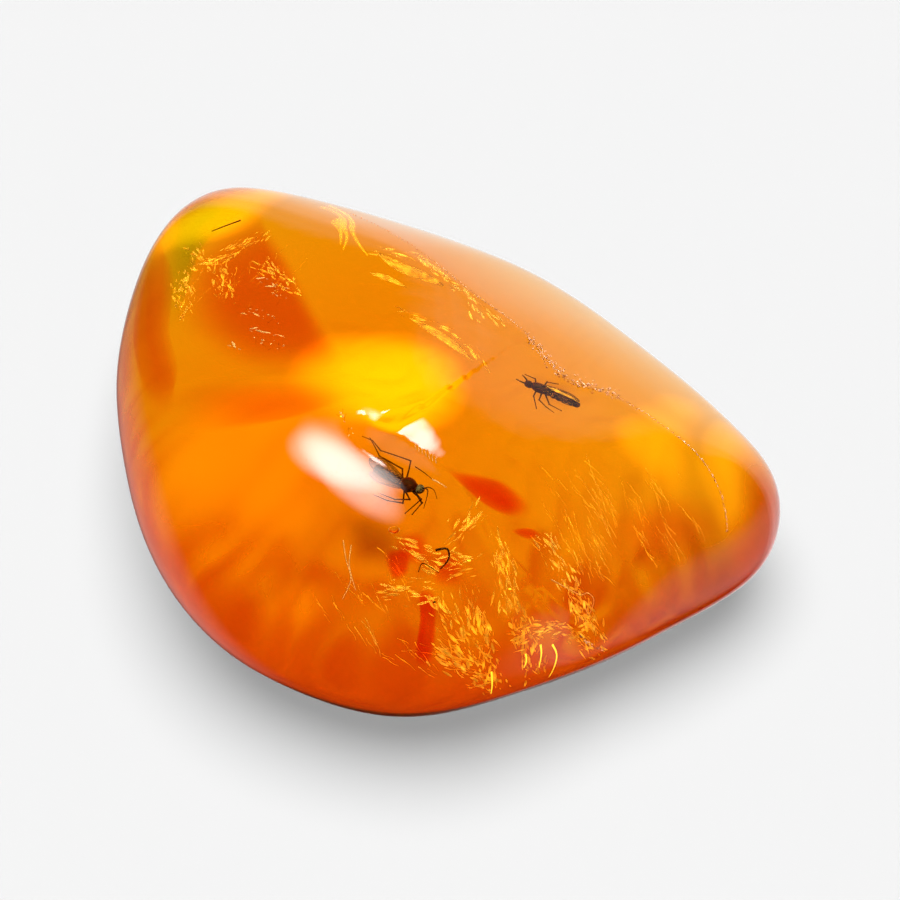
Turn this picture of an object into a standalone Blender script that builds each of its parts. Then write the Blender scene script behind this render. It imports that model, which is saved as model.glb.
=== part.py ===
"""Insect in amber: a polished amber pebble with a gnat and a small fly sealed inside it.

Units are metres and +Z is up. The origin is the middle of the flat that the pebble rests on.
The clear stone is parted in two halves along a sloping plane through both insects, and each
insect lies in its own pocket, half in the upper piece and half in the lower one.
"""
import math

import bmesh
import bpy
import numpy as np
from mathutils import Matrix, Vector, noise
from mathutils.bvhtree import BVHTree

MM = 0.001  # every size below is in millimetres and is scaled by this when a mesh is made

# ------------------------------------------------------------------ driving dimensions

# The pebble is a skin stretched over round lumps: centre and radius of each.
LUMPS = (
    ((-9.3, -8.4, 9.8), 10.2),  # the high dome on the left
    ((-1.7, -12.0, 9.3), 10.0),  # the front swell
    ((-16.1, 3.2, 9.2), 6.5),  # the left flank
    ((-15.2, 15.7, 7.8), 6.3),  # the far left corner
    ((2.6, 10.8, 6.5), 5.6),  # the back edge
    ((9.2, 5.6, 6.0), 5.1),  # the right of the back edge
    ((17.0, -6.4, 7.5), 6.3),  # the blunt right tip
    ((-3.3, 8.2, 15.3), 2.3),  # the far end of the crest
    ((7.0, -1.4, 14.5), 1.9),  # the middle of the crest
    ((15.4, -5.4, 11.9), 1.9),  # the near end of the crest
    ((-2.0, 3.0, 7.4), 7.3),  # the belly, which widens the flat underneath
)
MIDDLE = (0.0, 0.0, 9.7)  # point inside the stone from which its skin is measured
SKIN_TENSION = 16  # higher follows the lumps more tightly

# A crease runs down the near side, between the dome and the right-hand body.
CREASE_PATH = ((-6.5, -5.5), (-3.3, -9.9), (0.0, -12.3), (3.0, -15.3), (6.0, -18.0), (9.0, -20.0))
CREASE_DEPTH = 0.9
CREASE_WIDTH = 2.3  # distance in which its walls fall away to a third
CREASE_ROUNDING = 0.5
CREASE_RUN_IN = 4.0  # length over which it deepens at each end

WAVE_HEIGHT = 0.14  # hand polishing leaves the skin gently uneven
WAVE_LENGTH = 8.0

PEBBLE_FINENESS = 5  # icosphere subdivisions of the solid
SKIN_FINENESS = 6  # and of the dense skin that it is wrapped on

# The two halves meet on a sloping plane through both insects.
GAP = 0.3
BLOCK_SIDE = 80.0

GNAT_CENTRE = (-3.1, -11.0, 16.5)
GNAT_TURN = (0.0, 8.0, -31.5)  # degrees about X, Y and Z, the head along local +X
FLY_CENTRE = (6.8, -2.5, 13.9)
FLY_TURN = (0.0, 12.0, -22.0)  # the tail along local +X

GNAT_POCKET = (3.7, 2.1, 1.2)  # half sizes of each egg-shaped pocket
FLY_POCKET = (3.0, 2.0, 1.15)

LEG_SIDES = 6
BODY_FINENESS = 3
WING_CORNERS = 18


# ------------------------------------------------------------------ shared helpers

def clear_scene():
    """Remove the objects of the startup scene."""
    for old in list(bpy.data.objects):
        bpy.data.objects.remove(old, do_unlink=True)


def make_collection(name):
    collection = bpy.data.collections.new(name)
    bpy.context.scene.collection.children.link(collection)
    return collection


def make_material(name, colour, roughness, transmission=0.0, ior=1.5, alpha=1.0):
    """A Principled finish with the piece's own colour."""
    material = bpy.data.materials.new(name)
    material.use_nodes = True
    shader = material.node_tree.nodes["Principled BSDF"]
    shader.inputs["Base Color"].default_value = (*colour, 1.0)
    shader.inputs["Roughness"].default_value = roughness
    shader.inputs["Metallic"].default_value = 0.0
    shader.inputs["Transmission Weight"].default_value = transmission
    shader.inputs["IOR"].default_value = ior
    material.diffuse_color = (*colour, alpha)
    return material


def make_object(name, mesh, collection, material=None):
    made = bpy.data.objects.new(name, mesh)
    collection.objects.link(made)
    if material:
        mesh.materials.append(material)
    return made


def mesh_from_bmesh(name, shape):
    """Turn a bmesh in millimetres into a mesh in metres with its faces pointing out."""
    bmesh.ops.recalc_face_normals(shape, faces=shape.faces)
    mesh = bpy.data.meshes.new(name)
    shape.to_mesh(mesh)
    shape.free()
    mesh.transform(Matrix.Scale(MM, 4))
    mesh.update()
    return mesh


def placing(centre, turn):
    """The matrix that stands a local shape, in millimetres, at its place in the stone."""
    x, y, z = (math.radians(angle) for angle in turn)
    spin = Matrix.Rotation(z, 4, "Z") @ Matrix.Rotation(y, 4, "Y") @ Matrix.Rotation(x, 4, "X")
    return Matrix.Translation(centre) @ spin


# ------------------------------------------------------------------ the pebble's form

def skin_points(normals):
    """Where the stretched skin faces along each unit normal, in millimetres from MIDDLE."""
    centres = np.array([centre for centre, _ in LUMPS]) - np.array(MIDDLE)
    radii = np.array([radius for _, radius in LUMPS])
    reach = np.maximum(normals @ centres.T + radii, 0.001)
    longest = reach.max(axis=1, keepdims=True)
    total = longest * ((reach / longest) ** SKIN_TENSION).sum(axis=1, keepdims=True) ** (
        1 / SKIN_TENSION
    )
    share = (reach / total) ** (SKIN_TENSION - 1)
    return share @ centres + normals * (share @ radii)[:, None]


def dense_skin():
    """A fine mesh of the skin, for measuring distances from MIDDLE."""
    ball = bmesh.new()
    bmesh.ops.create_icosphere(ball, subdivisions=SKIN_FINENESS, radius=1.0)
    normals = np.array([vertex.co[:] for vertex in ball.verts])
    normals /= np.linalg.norm(normals, axis=1, keepdims=True)
    for vertex, point in zip(ball.verts, skin_points(normals)):
        vertex.co = point
    tree = BVHTree.FromBMesh(ball)
    ball.free()
    return tree


def crease_depth(point):
    """How far the crease presses in the skin at a point, from its distance in plan."""
    if point.z < MIDDLE[2]:
        return 0.0
    here = point.to_2d()
    nearest, along, run = math.inf, 0.0, 0.0
    for start, end in zip(CREASE_PATH, CREASE_PATH[1:]):
        start, end = Vector(start), Vector(end)
        span = end - start
        part = min(max((here - start).dot(span) / span.length_squared, 0.0), 1.0)
        distance = (here - start - part * span).length
        if distance < nearest:
            nearest, along = distance, run + part * span.length
        run += span.length
    fade = max(min(along / CREASE_RUN_IN, (run - along) / CREASE_RUN_IN, 1.0), 0.0)
    fade = fade * fade * (3 - 2 * fade)
    away = math.hypot(nearest, CREASE_ROUNDING) - CREASE_ROUNDING
    return CREASE_DEPTH * fade * math.exp(-away / CREASE_WIDTH)


def pebble_shape(fineness):
    """The whole stone as a bmesh in millimetres, before its base is cut flat."""
    skin = dense_skin()
    middle = Vector(MIDDLE)
    stone = bmesh.new()
    bmesh.ops.create_icosphere(stone, subdivisions=fineness, radius=1.0)
    for vertex in stone.verts:
        direction = vertex.co.normalized()
        distance = skin.ray_cast(Vector(), direction)[3]
        point = middle + direction * distance
        wave = WAVE_HEIGHT * noise.noise(point / WAVE_LENGTH)
        vertex.co = point + direction * (wave - crease_depth(point))
    return stone


# ------------------------------------------------------------------ the parted stone

def parting_frame():
    """The parting plane: through both insects, level across the line that joins them."""
    gnat, fly = Vector(GNAT_CENTRE), Vector(FLY_CENTRE)
    along = (fly - gnat).normalized()
    across = Vector((0, 0, 1)).cross(along).normalized()
    up = along.cross(across)
    turn = Matrix((along, across, up)).transposed().to_4x4()
    return Matrix.Translation((gnat + fly) / 2) @ turn


def make_block(name, collection, side):
    """A big box whose near face is half the gap above or below the parting plane."""
    box = bmesh.new()
    bmesh.ops.create_cube(box, size=BLOCK_SIDE)
    lift = Matrix.Translation((0, 0, side * (BLOCK_SIDE + GAP) / 2))
    bmesh.ops.transform(box, matrix=parting_frame() @ lift, verts=box.verts)
    return make_cutter(name, box, collection)


def make_floor_block(collection):
    """A box that fills everything below the flat that the pebble rests on."""
    box = bmesh.new()
    bmesh.ops.create_cube(box, size=BLOCK_SIDE)
    bmesh.ops.translate(box, vec=(0, 0, -BLOCK_SIDE / 2), verts=box.verts)
    return make_cutter("floor_block", box, collection)


def make_pocket(name, collection, centre, turn, half_sizes):
    egg = bmesh.new()
    bmesh.ops.create_icosphere(egg, subdivisions=BODY_FINENESS, radius=1.0)
    stretch = Matrix.Diagonal((*half_sizes, 1.0))
    bmesh.ops.transform(egg, matrix=placing(centre, turn) @ stretch, verts=egg.verts)
    return make_cutter(name, egg, collection)


def make_cutter(name, shape, collection):
    cutter = make_object(name, mesh_from_bmesh(name, shape), collection)
    cutter.hide_render = True
    cutter.display_type = "WIRE"
    return cutter


def cut(target, cutter, operation):
    boolean = target.modifiers.new(f"{operation.lower()}_{cutter.name}", "BOOLEAN")
    boolean.operation = operation
    boolean.solver = "EXACT"
    boolean.object = cutter


def make_stone_halves(parts, cutters, amber):
    """The upper and the lower piece of the stone, which meet around the insects."""
    floor = make_floor_block(cutters)
    pockets = (
        make_pocket("gnat_pocket", cutters, GNAT_CENTRE, GNAT_TURN, GNAT_POCKET),
        make_pocket("fly_pocket", cutters, FLY_CENTRE, FLY_TURN, FLY_POCKET),
    )
    for name, side in (("amber_upper", 1), ("amber_lower", -1)):
        mesh = mesh_from_bmesh(name, pebble_shape(PEBBLE_FINENESS))
        mesh.shade_smooth()
        half = make_object(name, mesh, parts, amber)
        cut(half, make_block(f"{name}_block", cutters, side), "INTERSECT")
        cut(half, floor, "DIFFERENCE")
        for pocket in pockets:
            cut(half, pocket, "DIFFERENCE")


# ------------------------------------------------------------------ the insects

def oval(centre, half_sizes, pitch=0.0):
    """An egg-shaped body piece, tipped nose down by pitch degrees."""
    shape = bmesh.new()
    bmesh.ops.create_icosphere(shape, subdivisions=BODY_FINENESS, radius=1.0)
    stretch = Matrix.Diagonal((*half_sizes, 1.0))
    bmesh.ops.transform(shape, matrix=placing(centre, (0, pitch, 0)) @ stretch, verts=shape.verts)
    return shape


def limb(points, radius):
    """A thin leg or feeler with capped ends, from joint to joint."""
    line = bpy.data.curves.new("limb", "CURVE")
    line.dimensions = "3D"
    line.bevel_depth = radius
    line.bevel_resolution = (LEG_SIDES - 4) // 2
    line.use_fill_caps = True
    spline = line.splines.new("POLY")
    spline.points.add(len(points) - 1)
    for knot, point in zip(spline.points, points):
        knot.co = (*point, 1.0)
    guide = bpy.data.objects.new("limb", line)
    bpy.context.scene.collection.objects.link(guide)
    evaluated = guide.evaluated_get(bpy.context.evaluated_depsgraph_get())
    mesh = bpy.data.meshes.new_from_object(evaluated)
    shape = bmesh.new()
    shape.from_mesh(mesh)
    bmesh.ops.remove_doubles(shape, verts=shape.verts, dist=radius / 100)
    bpy.data.objects.remove(guide, do_unlink=True)
    bpy.data.meshes.remove(mesh)
    bpy.data.curves.remove(line)
    return shape


def wing(root, tip, width, thickness, tilt):
    """A flat blade from root to tip, widest two thirds of the way out."""
    run = Vector(tip) - Vector(root)
    blade = bmesh.new()
    corners = []
    for corner in range(WING_CORNERS):
        angle = 2 * math.pi * corner / WING_CORNERS
        out = 0.5 - 0.5 * math.cos(angle)
        fullness = 0.45 + 0.55 * math.sin(min(out * 1.4, 1.57))
        side = 0.5 * width * math.sin(angle) * fullness
        corners.append(blade.verts.new((out * run.length, side, -thickness / 2)))
    blade.faces.new(corners)
    extruded = bmesh.ops.extrude_face_region(blade, geom=blade.faces[:])
    top = [item for item in extruded["geom"] if isinstance(item, bmesh.types.BMVert)]
    bmesh.ops.translate(blade, vec=(0, 0, thickness), verts=top)
    aim = run.to_track_quat("X", "Z").to_matrix().to_4x4()
    place = Matrix.Translation(root) @ aim @ Matrix.Rotation(math.radians(tilt), 4, "X")
    bmesh.ops.transform(blade, matrix=place, verts=blade.verts)
    return blade


def fuse(name, shapes, place, parts, material):
    """Join an insect's pieces, given in millimetres, into one closed solid."""
    spare = bpy.data.collections.new(f"{name}_pieces")
    bpy.context.scene.collection.children.link(spare)
    pieces = []
    for number, shape in enumerate(shapes):
        bmesh.ops.recalc_face_normals(shape, faces=shape.faces)
        mesh = bpy.data.meshes.new(f"{name}_piece_{number}")
        shape.to_mesh(mesh)
        shape.free()
        piece = bpy.data.objects.new(mesh.name, mesh)
        (spare if number else parts).objects.link(piece)
        pieces.append(piece)
    union = pieces[0].modifiers.new("union", "BOOLEAN")
    union.operation = "UNION"
    union.solver = "EXACT"
    union.operand_type = "COLLECTION"
    union.collection = spare
    evaluated = pieces[0].evaluated_get(bpy.context.evaluated_depsgraph_get())
    body = bpy.data.meshes.new_from_object(evaluated)
    body.name = name
    body.transform(Matrix.Scale(MM, 4) @ place)
    body.shade_smooth()
    for piece in pieces:
        bpy.data.objects.remove(piece, do_unlink=True)
    bpy.data.collections.remove(spare)
    return make_object(name, body, parts, material)


def make_gnat(parts, material):
    """A fungus gnat: round head, humped thorax, slim abdomen, long legs, folded wings."""
    shapes = [
        oval((1.0, -0.15, 0.0), (0.52, 0.40, 0.44)),  # thorax
        oval((1.72, -0.02, -0.04), (0.29, 0.27, 0.28)),  # head
        oval((-0.3, -0.2, -0.12), (1.15, 0.24, 0.28), pitch=-5),  # abdomen
        wing((1.15, -0.3, 0.25), (-1.95, -0.1, 0.15), 1.0, 0.08, -10),
        wing((1.1, -0.3, 0.05), (-1.45, -0.75, 0.0), 1.0, 0.08, 14),
    ]
    legs = (
        ((0.7, -0.05, -0.2), (0.25, 1.13, 0.25), (-1.7, 0.63, 0.2), (-2.6, 1.0, 0.15), (-3.3, 0.95, 0.1)),
        ((0.6, -0.2, -0.25), (0.05, 0.5, -0.35), (-1.6, 0.4, -0.2), (-2.9, 1.15, -0.1)),
        ((0.8, -0.3, -0.25), (1.55, -0.65, -0.35), (0.8, -1.12, -0.4), (-0.2, -1.3, -0.45)),
        ((0.9, -0.3, -0.25), (1.3, -1.0, -0.5), (0.4, -1.35, -0.6), (-0.5, -1.5, -0.6)),
        ((1.3, -0.2, -0.25), (2.1, -0.33, -0.35), (1.8, -1.5, -0.4)),
        ((1.3, -0.1, -0.25), (2.3, -0.5, -0.25), (2.2, -1.35, -0.35)),
    )
    feelers = (
        ((1.9, 0.08, 0.1), (2.15, 0.1, 0.15), (2.35, -0.2, 0.12), (2.66, -0.85, 0.05)),
        ((1.9, 0.0, 0.1), (2.1, 0.25, 0.2), (2.5, 0.3, 0.2), (2.95, -0.05, 0.15)),
    )
    shapes.extend(limb(leg, 0.055) for leg in legs)
    shapes.extend(limb(feeler, 0.045) for feeler in feelers)
    return fuse("gnat", shapes, placing(GNAT_CENTRE, GNAT_TURN), parts, material)


def make_fly(parts, material):
    """A small stout fly: tapering abdomen, stubby feelers, legs drawn in, wings folded."""
    shapes = [
        oval((-0.65, 0.12, 0.05), (0.68, 0.44, 0.46)),  # thorax
        oval((-1.42, 0.06, 0.0), (0.34, 0.33, 0.32)),  # head
        oval((0.85, 0.16, -0.02), (1.38, 0.40, 0.42)),  # abdomen
        wing((-0.7, 0.3, 0.33), (2.15, 0.38, 0.3), 0.8, 0.08, 24),
        wing((-0.7, -0.05, 0.33), (2.1, -0.12, 0.28), 0.8, 0.08, -24),
    ]
    legs = (
        ((-0.8, 0.0, -0.2), (-0.8, -0.65, -0.3), (-0.25, -1.5, -0.45)),
        ((-0.4, 0.0, -0.2), (-0.35, -0.75, -0.3), (0.3, -1.05, -0.4), (0.9, -1.2, -0.45)),
        ((-0.2, 0.0, -0.2), (0.4, -0.7, -0.45), (1.3, -0.75, -0.5)),
        ((-0.9, 0.2, -0.2), (-1.2, 0.85, -0.3), (-1.95, 0.85, -0.35)),
        ((-0.5, 0.2, -0.2), (-0.4, 1.05, -0.3), (0.3, 1.35, -0.4)),
    )
    feelers = (
        ((-1.6, 0.0, 0.0), (-1.95, -0.02, 0.02), (-2.36, 0.0, 0.0)),
        ((-1.55, 0.2, 0.05), (-1.8, 0.4, 0.1), (-2.1, 0.55, 0.1)),
    )
    shapes.extend(limb(leg, 0.06) for leg in legs)
    shapes.extend(limb(feeler, 0.085) for feeler in feelers)
    return fuse("fly", shapes, placing(FLY_CENTRE, FLY_TURN), parts, material)


# ------------------------------------------------------------------ the whole object

def main():
    clear_scene()
    parts = make_collection("insect_in_amber")
    cutters = make_collection("cutters")
    amber = make_material("amber", (0.90, 0.29, 0.01), 0.03, transmission=1.0, ior=1.54, alpha=0.55)
    gnat_skin = make_material("gnat_skin", (0.055, 0.022, 0.012), 0.4)
    fly_skin = make_material("fly_skin", (0.075, 0.038, 0.022), 0.35)
    make_stone_halves(parts, cutters, amber)
    make_gnat(parts, gnat_skin)
    make_fly(parts, fly_skin)


main()
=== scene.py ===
# %% [markdown]
# # Insect in amber
# A tumbled, polished pebble of Baltic amber, about 46 mm long, with a fungus gnat and a small fly sealed in
# it. Amber is the resin of a pine forest that ran down the bark some forty million years ago. Each run
# caught what sat on the bark, so insects, hairs, dust and air bubbles lie in layers, with cracks between
# the layers.
#
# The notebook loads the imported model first, because it fixes where everything is: the two halves of the
# stone and both insects. The lines after that build the looks around it.

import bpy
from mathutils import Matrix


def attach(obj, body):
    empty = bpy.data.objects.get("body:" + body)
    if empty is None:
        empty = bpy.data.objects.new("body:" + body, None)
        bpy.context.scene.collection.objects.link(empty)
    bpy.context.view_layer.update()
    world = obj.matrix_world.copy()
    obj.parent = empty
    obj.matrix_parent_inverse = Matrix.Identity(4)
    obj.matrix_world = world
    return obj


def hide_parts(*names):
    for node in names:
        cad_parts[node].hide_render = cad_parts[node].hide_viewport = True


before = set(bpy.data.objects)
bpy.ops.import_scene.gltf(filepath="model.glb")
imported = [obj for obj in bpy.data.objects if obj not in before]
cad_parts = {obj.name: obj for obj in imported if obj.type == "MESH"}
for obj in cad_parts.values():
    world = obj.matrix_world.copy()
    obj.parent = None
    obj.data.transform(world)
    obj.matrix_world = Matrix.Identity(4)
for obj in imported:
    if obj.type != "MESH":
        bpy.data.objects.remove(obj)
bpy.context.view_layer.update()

# %% Modules and the unit
import math

import bmesh
import bpy
import numpy as np
from mathutils import Matrix, Vector, noise
from mathutils.bvhtree import BVHTree

MM = 0.001  # the shapes below are written in millimetres, and scaled once when they become objects
scene = bpy.context.scene
print("scene:", scene.name, "in units of", MM, "m")

# %% [markdown]
# ## Small helpers
# Hex colours are what a colour picker gives on screen, and shaders want linear light, so one function turns
# the first into the second. `add` makes a shader node, sets its options and wires its inputs in a single
# line: a value that is a socket becomes a link, and anything else becomes the default value.


# %% Colours and shader nodes
WHITE = (1, 1, 1, 1)


def linear(hex_code):
    """Linear red, green, blue and alpha of an sRGB colour such as "#C8781E"."""
    channels = [int(hex_code[i:i + 2], 16) / 255 for i in (1, 3, 5)]
    return (*(c / 12.92 if c <= 0.04045 else ((c + 0.055) / 1.055) ** 2.4 for c in channels), 1)


def add(tree, kind, inputs=None, **settings):
    made = tree.nodes.new(kind)
    for name, value in settings.items():
        setattr(made, name, value)
    for socket, value in (inputs or {}).items():
        if isinstance(value, bpy.types.NodeSocket):
            tree.links.new(value, made.inputs[socket])
        else:
            made.inputs[socket].default_value = value
    return made


def new_material(name):
    material = bpy.data.materials.new(name)
    material.use_nodes = True
    material.node_tree.nodes.clear()
    return material, material.node_tree


def show(tree, shader, volume=None):
    """Gives a material its surface, and what fills it."""
    output = add(tree, "ShaderNodeOutputMaterial", {"Surface": shader.outputs[0]})
    if volume:
        tree.links.new(volume.outputs[0], output.inputs["Volume"])


def principled(name, settings):
    """A material whose whole surface is one Principled shader."""
    material, tree = new_material(name)
    show(tree, add(tree, "ShaderNodeBsdfPrincipled", settings))
    return material


def see_through(name, roughness, index, colour, density):
    """A clear material: its index bends the light, and its depth absorbs what isn't its colour."""
    material, tree = new_material(name)
    skin = add(tree, "ShaderNodeBsdfPrincipled", {
        "Base Color": WHITE, "Roughness": roughness, "IOR": index, "Transmission Weight": 1.0})
    depth = add(tree, "ShaderNodeVolumeAbsorption", {"Color": (*colour, 1), "Density": density})
    show(tree, skin, depth)
    return material


def glowing(tree, strength):
    show(tree, add(tree, "ShaderNodeEmission", {"Color": WHITE, "Strength": strength}))


print("pale straw in linear light:", [round(c, 3) for c in linear("#F2D68C")])


# %% [markdown]
# ## From a sketch in millimetres to a piece of the object
# Every shape is drawn into a bmesh, scaled to metres and given its material. A piece then rides on the body
# of the object, so that the object can be moved as a whole.


# %% Turning a bmesh into an object
def make_mesh(name, shape):
    """A mesh in metres, with its faces pointing out, from a shape in millimetres, which is used up."""
    bmesh.ops.scale(shape, vec=(MM, MM, MM), verts=shape.verts)
    bmesh.ops.recalc_face_normals(shape, faces=shape.faces)
    mesh = bpy.data.meshes.new(name)
    shape.to_mesh(mesh)
    shape.free()
    return mesh


def make_object(name, shape, material, smooth=True):
    mesh = make_mesh(name, shape)
    mesh.materials.append(material)
    if smooth:
        mesh.shade_smooth()
    made = bpy.data.objects.new(name, mesh)
    scene.collection.objects.link(made)
    return made


def seal_in(piece, slot, *replaced):
    """Rides the piece on the stone's body and hides the imported parts that it replaces; slot is not used."""
    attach(piece, "root")
    if replaced:
        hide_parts(*replaced)
    triangles = sum(len(face.vertices) - 2 for face in piece.data.polygons)
    print(f"{piece.name}: {triangles} triangles")
    return piece


# %% [markdown]
# ## The studio
# The picture is a catalogue one: a long lens looks down at 52 degrees, so that the dome shows its top and
# its front together and its outline is hardly bent by perspective.

# %% The camera
ELEVATION = math.radians(52)
AIM = Vector((0.57, -1.40, 8)) * MM
DISTANCE = 158.25 * MM

backwards = Vector((0, -math.cos(ELEVATION), math.sin(ELEVATION)))
long_lens = bpy.data.cameras.new("camera")
long_lens.lens = 90
long_lens.clip_start = 0.005
camera = bpy.data.objects.new("camera", long_lens)
scene.collection.objects.link(camera)
camera.location = AIM + backwards * DISTANCE
camera.rotation_euler = backwards.to_track_quat("Z", "Y").to_euler()
scene.camera = camera
print("camera at", [round(c * 1000, 1) for c in camera.location], "mm")

# %% [markdown]
# A polished stone is a mirror for its surroundings, so the studio is drawn as a sky with soft shapes in it.
# Two big softboxes overlap high behind the stone and make the white oval on the dome, and a small one
# lights the slope beyond the crease. A white wall stands low behind the stone and lends the far slope its
# pale peach edge; cards at both sides warm the rims. Everything else is dark, which keeps the resin's own
# colour deep: even 4% of a grey room, reflected all over, would turn honey into milk.


# %% The sky: softboxes above, a white wall behind, dark elsewhere
def toward(azimuth, elevation):
    turn, rise = math.radians(azimuth), math.radians(elevation)
    return (math.cos(turn) * math.cos(rise), math.sin(turn) * math.cos(rise), math.sin(rise))


def soft_disc(tree, direction, azimuth, elevation, inner, outer, strength):
    """Full strength within `inner` degrees of a direction, fading to nothing at `outer` degrees."""
    middle = toward(azimuth, elevation)
    nearness = add(tree, "ShaderNodeVectorMath", {0: direction, 1: middle}, operation="DOT_PRODUCT")
    fade = add(tree, "ShaderNodeMapRange", {
        "Value": nearness.outputs["Value"], "From Min": math.cos(math.radians(outer)),
        "From Max": math.cos(math.radians(inner)), "To Min": 0.0, "To Max": strength,
    }, interpolation_type="SMOOTHSTEP")
    return fade.outputs["Result"]


def soft_oval(tree, place, middle, half_sizes, turn, rim, heart, strength):
    """Full strength at the heart of an oval, fading to nothing at its rim; both are squares of a distance."""
    local = add(tree, "ShaderNodeMapping", {
        "Vector": place, "Location": middle, "Rotation": (0, 0, math.radians(turn)), "Scale": half_sizes,
    }, vector_type="TEXTURE").outputs[0]
    squared = add(tree, "ShaderNodeVectorMath", {0: local, 1: local}, operation="DOT_PRODUCT")
    return add(tree, "ShaderNodeMapRange", {
        "Value": squared.outputs["Value"], "From Min": rim, "From Max": heart, "To Min": 0.0,
        "To Max": strength,
    }, interpolation_type="SMOOTHSTEP").outputs["Result"]


SOFTBOXES = (  # x and y of the direction to its middle, half sizes, turn in degrees, strength
    ((-0.041, 0.217), (0.150, 0.368), 8.8, 7.6),  # high up, a little behind the stone
    ((-0.05, 0.36), (0.215, 0.26), -15.0, 10.2),  # overlapping it, so that the oval fades at its near end
    ((0.19, 0.59), (0.032, 0.052), 0.0, 16.0),  # small and lower, for the slope beyond the crease
)
DISCS = (  # azimuth, elevation, inner and outer radius in degrees, strength
    (65, -20, 38, 46, 0.55),  # the white wall behind
    (65, -20, 47, 51, 0.35),  # its soft upper edge
    (65, 31, 2, 10, 0.50),  # a reflector above the wall
    (-10, -32, 16, 38, 0.50),  # a card on the right
    (155, -42, 8, 34, 0.40),  # a small card on the left, down by the table
)
BOX_RIM, BOX_HEART = 1.9, 0.05  # squares of the distances at which a softbox ends and is at full strength
DARKNESS = 0.006
LOWEST_SOFTBOX = 0.2  # z of the direction: below it the ovals, which are drawn from above, would show again
FLAT = 1e6  # so long a half size that z doesn't count

scene.view_settings.view_transform = "Standard"
scene.view_settings.look = "None"
world = bpy.data.worlds.new("studio")
scene.world = world
world.use_nodes = True
sky = world.node_tree
sky.nodes.clear()
direction = add(sky, "ShaderNodeTexCoord").outputs["Generated"]
height = add(sky, "ShaderNodeSeparateXYZ", {0: direction}).outputs["Z"]
above = add(sky, "ShaderNodeMath", {0: height, 1: LOWEST_SOFTBOX}, operation="GREATER_THAN").outputs[0]
light = DARKNESS
for (x, y), (wide, deep), turn, strength in SOFTBOXES:
    box = soft_oval(sky, direction, (x, y, 0), (wide, deep, FLAT), turn, BOX_RIM, BOX_HEART, strength)
    light = add(sky, "ShaderNodeMath", {0: box, 1: above, 2: light}, operation="MULTIPLY_ADD").outputs[0]
for disc in DISCS:
    spot = soft_disc(sky, direction, *disc)
    light = add(sky, "ShaderNodeMath", {0: spot, 1: light}, operation="ADD").outputs[0]
studio_light = add(sky, "ShaderNodeBackground", {"Color": WHITE, "Strength": light})
add(sky, "ShaderNodeOutputWorld", {"Surface": studio_light.outputs[0]})
print("softboxes:", len(SOFTBOXES), "and soft discs:", len(DISCS))

# %% [markdown]
# The stone stands on pale paper. Light that the resin gathers and throws on the paper under it is slow to
# find by chance, so the stone is given that light outright: a tent around it and a glowing sheet under it,
# which only rays that have come out of the stone can see. The sheet carries the bright patches that a clear
# pebble collects beneath itself, like a burning glass. Two broad lamps light the paper alone: the stone
# shades the first, and the second stands for the light that has come through it, so nothing stands in its
# way.

# %% The paper floor
PAPER = 0.08  # grey level of the paper, in linear light
FLOOR_HEIGHT = -0.04  # mm: under the glowing sheet, which is under the stone
SHEET_HEIGHT = -0.02
FLOOR_REACH = 3000  # mm, to each side
SHEET_REACH = 280
TENT_RADIUS = 300
TENT_GLOW = 0.95
SHEET_GLOW = 1.08
PATCHES = (  # centre on the table in mm, half sizes in mm, turn in degrees, strength
    ((-4.9, 3.2), (5.4, 4.7), -8, 2.4),
    ((-16, 20), (4, 3.2), 0, 1.3),
    ((-11.5, -1.2), (6, 5), 20, 0.35),
    ((-8.2, -5.8), (2.6, 1.6), 0, 0.6),
    ((12.6, 0.1), (3, 2.2), -10, 0.55),
    ((17.7, -0.6), (2.2, 2), 0, 0.5),
)


def flat_sheet(name, reach, height, material):
    shape = bmesh.new()
    bmesh.ops.create_grid(shape, x_segments=1, y_segments=1, size=reach)
    bmesh.ops.translate(shape, vec=(0, 0, height), verts=shape.verts)
    return make_object(name, shape, material, smooth=False)


# A matt grey paper, which the two lamps lift to a very pale grey
paper, tree = new_material("paper_floor")
show(tree, add(tree, "ShaderNodeBsdfDiffuse", {"Color": (PAPER, PAPER, PAPER, 1)}))
floor = flat_sheet("floor", FLOOR_REACH, FLOOR_HEIGHT, paper)
floor.visible_glossy = False  # the sky's lower half is what the stone's skin mirrors
print("floor at", FLOOR_HEIGHT, "mm, grey", PAPER)

# %% The glowing sheet under the stone
glowing_sheet, tree = new_material("glowing_sheet")
place = add(tree, "ShaderNodeTexCoord").outputs["Object"]
light = SHEET_GLOW
for (x, y), (long, wide), turn, strength in PATCHES:
    patch = soft_oval(tree, place, (x * MM, y * MM, 0), (long * MM, wide * MM, 1), turn, 1.0, 0.0, 1.0)
    light = add(tree, "ShaderNodeMath", {
        0: patch, 1: strength, 2: light}, operation="MULTIPLY_ADD").outputs[0]
glowing(tree, light)
sheet = flat_sheet("glowing_sheet", SHEET_REACH, SHEET_HEIGHT, glowing_sheet)
print("glowing sheet with", len(PATCHES), "bright patches")

# %% The tent, and the lamps for the paper
tent_light, tree = new_material("tent_light")
glowing(tree, TENT_GLOW)
shape = bmesh.new()
bmesh.ops.create_icosphere(shape, subdivisions=4, radius=TENT_RADIUS)
tent = make_object("tent", shape, tent_light)

for unseen in (sheet, tent):
    unseen.visible_camera = unseen.visible_diffuse = unseen.visible_glossy = unseen.visible_shadow = False


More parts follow.
